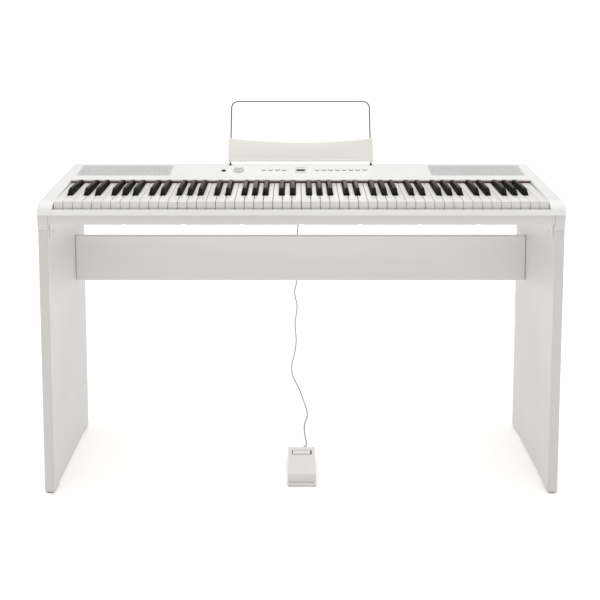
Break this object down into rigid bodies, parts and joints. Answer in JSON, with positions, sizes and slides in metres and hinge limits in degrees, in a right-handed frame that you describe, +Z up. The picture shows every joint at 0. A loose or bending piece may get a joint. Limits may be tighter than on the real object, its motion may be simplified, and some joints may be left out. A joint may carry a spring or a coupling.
{
  "type": "digital piano on stand",
  "caption": "Full-size digital piano with a lift-off music rest, on a stand of two side panels and a crossbar, with a corded foot pedal.",
  "frame": {"origin": "centre of the bounding box's underside, on the floor, measured without the cord, its plug and strain relief", "axes": "+X towards the treble end, +Y away from the player, +Z up"},
  "size_m": [1.301, 0.3606, 0.96],
  "materials": {
    "white_case": "satin white moulded plastic",
    "white_board": "satin white foil on board",
    "white_key": "polished ivory white plastic",
    "black_key": "satin black plastic",
    "grille": "fine perforated light grey grille",
    "cream_plate": "matte cream plastic",
    "grey_wire": "grey steel rod",
    "black_rubber": "matt black rubber",
    "dark_plastic": "satin black plastic",
    "red_felt": "dark red felt",
    "circuit_board": "green circuit board",
    "silver_plastic": "silver grey plastic",
    "grey_cord": "light grey cord jacket",
    "steel": "plain steel sheet"
  },
  "bodies": {
    "root": {"left_side_panel": "white_board", "left_panel_cap": "white_case", "left_case_bracket": "white_case", "front_left_glide": "black_rubber", "rear_left_glide": "black_rubber", "left_grille": "grille", "left_speaker": "dark_plastic", "right_side_panel": "white_board", "right_panel_cap": "white_case", "right_case_bracket": "white_case", "front_right_glide": "black_rubber", "rear_right_glide": "black_rubber", "right_grille": "grille", "right_speaker": "dark_plastic", "crossbar": "white_board", "top_case": "white_case", "bottom_case": "white_case", "key_felt": "red_felt", "key_frame": "steel", "main_board": "circuit_board", "display_window": "dark_plastic", "pedal_base": "white_case", "pedal_spring": "grey_wire", "pedal_strain_relief": "grey_cord", "pedal_cord": "grey_cord", "pedal_jack": "dark_plastic", "pedal_plug": "dark_plastic"},
    "low_white_keys": {"low_white_keys": "white_key"},
    "low_black_keys": {"low_black_keys": "black_key"},
    "high_white_keys": {"high_white_keys": "white_key"},
    "high_black_keys": {"high_black_keys": "black_key"},
    "key_C4": {"key_C4": "white_key"},
    "key_C_sharp4": {"key_C_sharp4": "black_key"},
    "key_D4": {"key_D4": "white_key"},
    "key_D_sharp4": {"key_D_sharp4": "black_key"},
    "key_E4": {"key_E4": "white_key"},
    "key_F4": {"key_F4": "white_key"},
    "key_F_sharp4": {"key_F_sharp4": "black_key"},
    "key_G4": {"key_G4": "white_key"},
    "key_G_sharp4": {"key_G_sharp4": "black_key"},
    "key_A4": {"key_A4": "white_key"},
    "key_A_sharp4": {"key_A_sharp4": "black_key"},
    "key_B4": {"key_B4": "white_key"},
    "voice_button_1": {"voice_button_1": "white_case"},
    "voice_button_2": {"voice_button_2": "white_case"},
    "voice_button_3": {"voice_button_3": "white_case"},
    "voice_button_4": {"voice_button_4": "white_case"},
    "function_button_1": {"function_button_1": "white_case"},
    "function_button_2": {"function_button_2": "white_case"},
    "function_button_3": {"function_button_3": "white_case"},
    "function_button_4": {"function_button_4": "white_case"},
    "function_button_5": {"function_button_5": "white_case"},
    "function_button_6": {"function_button_6": "white_case"},
    "function_button_7": {"function_button_7": "white_case"},
    "function_button_8": {"function_button_8": "white_case"},
    "power_button": {"power_button": "dark_plastic"},
    "volume_knob": {"volume_knob": "silver_plastic"},
    "music_rest": {"music_rest_plate": "cream_plate", "music_rest_wire": "grey_wire"},
    "pedal": {"pedal_plate": "white_case"}
  },
  "joints": [
    {"name": "pedal_press", "type": "hinge", "parent": "root", "child": "pedal", "pos_m": [0.002, -0.0187, 0.015], "axis": [1, 0, 0], "range_deg": [0, 4], "stiffness_Nm_per_rad": 4, "springref_deg": -8.59, "deforming": ["pedal_spring"]},
    {"name": "music_rest_lift", "type": "slide", "parent": "root", "child": "music_rest", "axis": [0, 0.342, 0.9397], "range_m": [0, 0.1]},
    {"name": "volume_turn", "type": "hinge", "parent": "root", "child": "volume_knob", "pos_m": [-0.1703, 0.0617, 0.78081], "axis": [0, -0.1874, 0.9823], "range_deg": [-150, 150]},
    {"name": "low_white_keys_press", "type": "hinge", "parent": "root", "child": "low_white_keys", "pos_m": [-0.3525, 0.0753, 0.738], "axis": [1, 0, 0], "range_deg": [0, 2.5], "stiffness_Nm_per_rad": 36.8, "springref_deg": -11.46},
    {"name": "low_black_keys_press", "type": "hinge", "parent": "root", "child": "low_black_keys", "pos_m": [-0.30886, 0.0753, 0.738], "axis": [1, 0, 0], "range_deg": [0, 2.5], "stiffness_Nm_per_rad": 19.2, "springref_deg": -11.46},
    {"name": "high_white_keys_press", "type": "hinge", "parent": "root", "child": "high_white_keys", "pos_m": [0.3525, 0.0753, 0.738], "axis": [1, 0, 0], "range_deg": [0, 2.5], "stiffness_Nm_per_rad": 35.2, "springref_deg": -11.46},
    {"name": "high_black_keys_press", "type": "hinge", "parent": "root", "child": "high_black_keys", "pos_m": [0.34914, 0.0753, 0.738], "axis": [1, 0, 0], "range_deg": [0, 2.5], "stiffness_Nm_per_rad": 18, "springref_deg": -11.46},
    {"name": "key_C4_press", "type": "hinge", "parent": "root", "child": "key_C4", "pos_m": [-0.05875, 0.0753, 0.738], "axis": [1, 0, 0], "range_deg": [0, 2.5], "stiffness_Nm_per_rad": 1.6, "springref_deg": -11.46},
    {"name": "key_C_sharp4_press", "type": "hinge", "parent": "root", "child": "key_C_sharp4", "pos_m": [-0.04935, 0.0753, 0.738], "axis": [1, 0, 0], "range_deg": [0, 2.5], "stiffness_Nm_per_rad": 1.2, "springref_deg": -11.46},
    {"name": "key_D4_press", "type": "hinge", "parent": "root", "child": "key_D4", "pos_m": [-0.03525, 0.0753, 0.738], "axis": [1, 0, 0], "range_deg": [0, 2.5], "stiffness_Nm_per_rad": 1.6, "springref_deg": -11.46},
    {"name": "key_D_sharp4_press", "type": "hinge", "parent": "root", "child": "key_D_sharp4", "pos_m": [-0.02115, 0.0753, 0.738], "axis": [1, 0, 0], "range_deg": [0, 2.5], "stiffness_Nm_per_rad": 1.2, "springref_deg": -11.46},
    {"name": "key_E4_press", "type": "hinge", "parent": "root", "child": "key_E4", "pos_m": [-0.01175, 0.0753, 0.738], "axis": [1, 0, 0], "range_deg": [0, 2.5], "stiffness_Nm_per_rad": 1.6, "springref_deg": -11.46},
    {"name": "key_F4_press", "type": "hinge", "parent": "root", "child": "key_F4", "pos_m": [0.01175, 0.0753, 0.738], "axis": [1, 0, 0], "range_deg": [0, 2.5], "stiffness_Nm_per_rad": 1.6, "springref_deg": -11.46},
    {"name": "key_F_sharp4_press", "type": "hinge", "parent": "root", "child": "key_F_sharp4", "pos_m": [0.02014, 0.0753, 0.738], "axis": [1, 0, 0], "range_deg": [0, 2.5], "stiffness_Nm_per_rad": 1.2, "springref_deg": -11.46},
    {"name": "key_G4_press", "type": "hinge", "parent": "root", "child": "key_G4", "pos_m": [0.03525, 0.0753, 0.738], "axis": [1, 0, 0], "range_deg": [0, 2.5], "stiffness_Nm_per_rad": 1.6, "springref_deg": -11.46},
    {"name": "key_G_sharp4_press", "type": "hinge", "parent": "root", "child": "key_G_sharp4", "pos_m": [0.047, 0.0753, 0.738], "axis": [1, 0, 0], "range_deg": [0, 2.5], "stiffness_Nm_per_rad": 1.2, "springref_deg": -11.46},
    {"name": "key_A4_press", "type": "hinge", "parent": "root", "child": "key_A4", "pos_m": [0.05875, 0.0753, 0.738], "axis": [1, 0, 0], "range_deg": [0, 2.5], "stiffness_Nm_per_rad": 1.6, "springref_deg": -11.46},
    {"name": "key_A_sharp4_press", "type": "hinge", "parent": "root", "child": "key_A_sharp4", "pos_m": [0.07386, 0.0753, 0.738], "axis": [1, 0, 0], "range_deg": [0, 2.5], "stiffness_Nm_per_rad": 1.2, "springref_deg": -11.46},
    {"name": "key_B4_press", "type": "hinge", "parent": "root", "child": "key_B4", "pos_m": [0.08225, 0.0753, 0.738], "axis": [1, 0, 0], "range_deg": [0, 2.5], "stiffness_Nm_per_rad": 1.6, "springref_deg": -11.46},
    {"name": "voice_button_1_push", "type": "slide", "parent": "root", "child": "voice_button_1", "axis": [0, 0.1874, -0.9823], "range_m": [0, 0.001], "stiffness_N_per_m": 400, "springref_m": -0.0015},
    {"name": "voice_button_2_push", "type": "slide", "parent": "root", "child": "voice_button_2", "axis": [0, 0.1874, -0.9823], "range_m": [0, 0.001], "stiffness_N_per_m": 400, "springref_m": -0.0015},
    {"name": "voice_button_3_push", "type": "slide", "parent": "root", "child": "voice_button_3", "axis": [0, 0.1874, -0.9823], "range_m": [0, 0.001], "stiffness_N_per_m": 400, "springref_m": -0.0015},
    {"name": "voice_button_4_push", "type": "slide", "parent": "root", "child": "voice_button_4", "axis": [0, 0.1874, -0.9823], "range_m": [0, 0.001], "stiffness_N_per_m": 400, "springref_m": -0.0015},
    {"name": "function_button_1_push", "type": "slide", "parent": "root", "child": "function_button_1", "axis": [0, 0.1874, -0.9823], "range_m": [0, 0.001], "stiffness_N_per_m": 400, "springref_m": -0.0015},
    {"name": "function_button_2_push", "type": "slide", "parent": "root", "child": "function_button_2", "axis": [0, 0.1874, -0.9823], "range_m": [0, 0.001], "stiffness_N_per_m": 400, "springref_m": -0.0015},
    {"name": "function_button_3_push", "type": "slide", "parent": "root", "child": "function_button_3", "axis": [0, 0.1874, -0.9823], "range_m": [0, 0.001], "stiffness_N_per_m": 400, "springref_m": -0.0015},
    {"name": "function_button_4_push", "type": "slide", "parent": "root", "child": "function_button_4", "axis": [0, 0.1874, -0.9823], "range_m": [0, 0.001], "stiffness_N_per_m": 400, "springref_m": -0.0015},
    {"name": "function_button_5_push", "type": "slide", "parent": "root", "child": "function_button_5", "axis": [0, 0.1874, -0.9823], "range_m": [0, 0.001], "stiffness_N_per_m": 400, "springref_m": -0.0015},
    {"name": "function_button_6_push", "type": "slide", "parent": "root", "child": "function_button_6", "axis": [0, 0.1874, -0.9823], "range_m": [0, 0.001], "stiffness_N_per_m": 400, "springref_m": -0.0015},
    {"name": "function_button_7_push", "type": "slide", "parent": "root", "child": "function_button_7", "axis": [0, 0.1874, -0.9823], "range_m": [0, 0.001], "stiffness_N_per_m": 400, "springref_m": -0.0015},
    {"name": "function_button_8_push", "type": "slide", "parent": "root", "child": "function_button_8", "axis": [0, 0.1874, -0.9823], "range_m": [0, 0.001], "stiffness_N_per_m": 400, "springref_m": -0.0015},
    {"name": "power_button_push", "type": "slide", "parent": "root", "child": "power_button", "axis": [0, 0.1874, -0.9823], "range_m": [0, 0.0012], "stiffness_N_per_m": 400, "springref_m": -0.0015}
  ]
}
